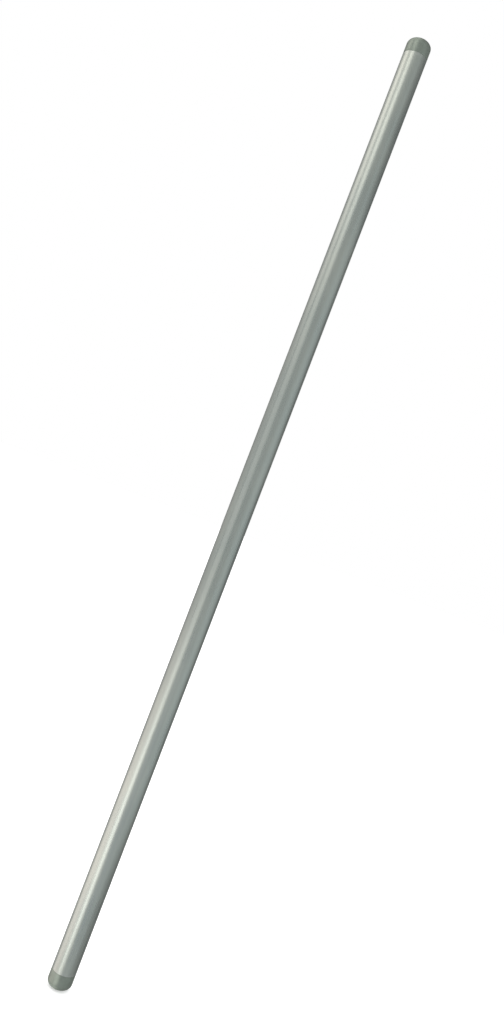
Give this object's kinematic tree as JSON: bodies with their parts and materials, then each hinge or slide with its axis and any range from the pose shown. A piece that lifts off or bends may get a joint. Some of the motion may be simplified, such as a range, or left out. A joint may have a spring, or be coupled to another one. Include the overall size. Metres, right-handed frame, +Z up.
{
  "type": "straight cane",
  "caption": "Straight round cane: a satin metal tube with a flush darker grey domed plug pushed into each end; no grip, crook, strap or fold.",
  "frame": {"origin": "centre of the lower plug's flat tip, where the cane meets the ground", "axes": "+Z up along the shaft to the upper plug's tip; the cane is round, so +X and +Y are free"},
  "size_m": [0.025, 0.025, 1],
  "materials": {
    "shaft_metal": "satin, drawn lengthwise, clear anodised",
    "plug_plastic": "moulded, satin, grey with a metallic pigment and a green tinge"
  },
  "bodies": {
    "lower_plug": {"lower_plug": "plug_plastic"},
    "shaft": {"shaft_tube": "shaft_metal"},
    "upper_plug": {"upper_plug": "plug_plastic"}
  },
  "joints": [
    {"name": "lower_plug_pull", "type": "slide", "parent": "lower_plug", "child": "shaft", "axis": [0, 0, 1], "range_m": [0, 0.03]},
    {"name": "upper_plug_pull", "type": "slide", "parent": "shaft", "child": "upper_plug", "axis": [0, 0, 1], "range_m": [0, 0.03]}
  ]
}
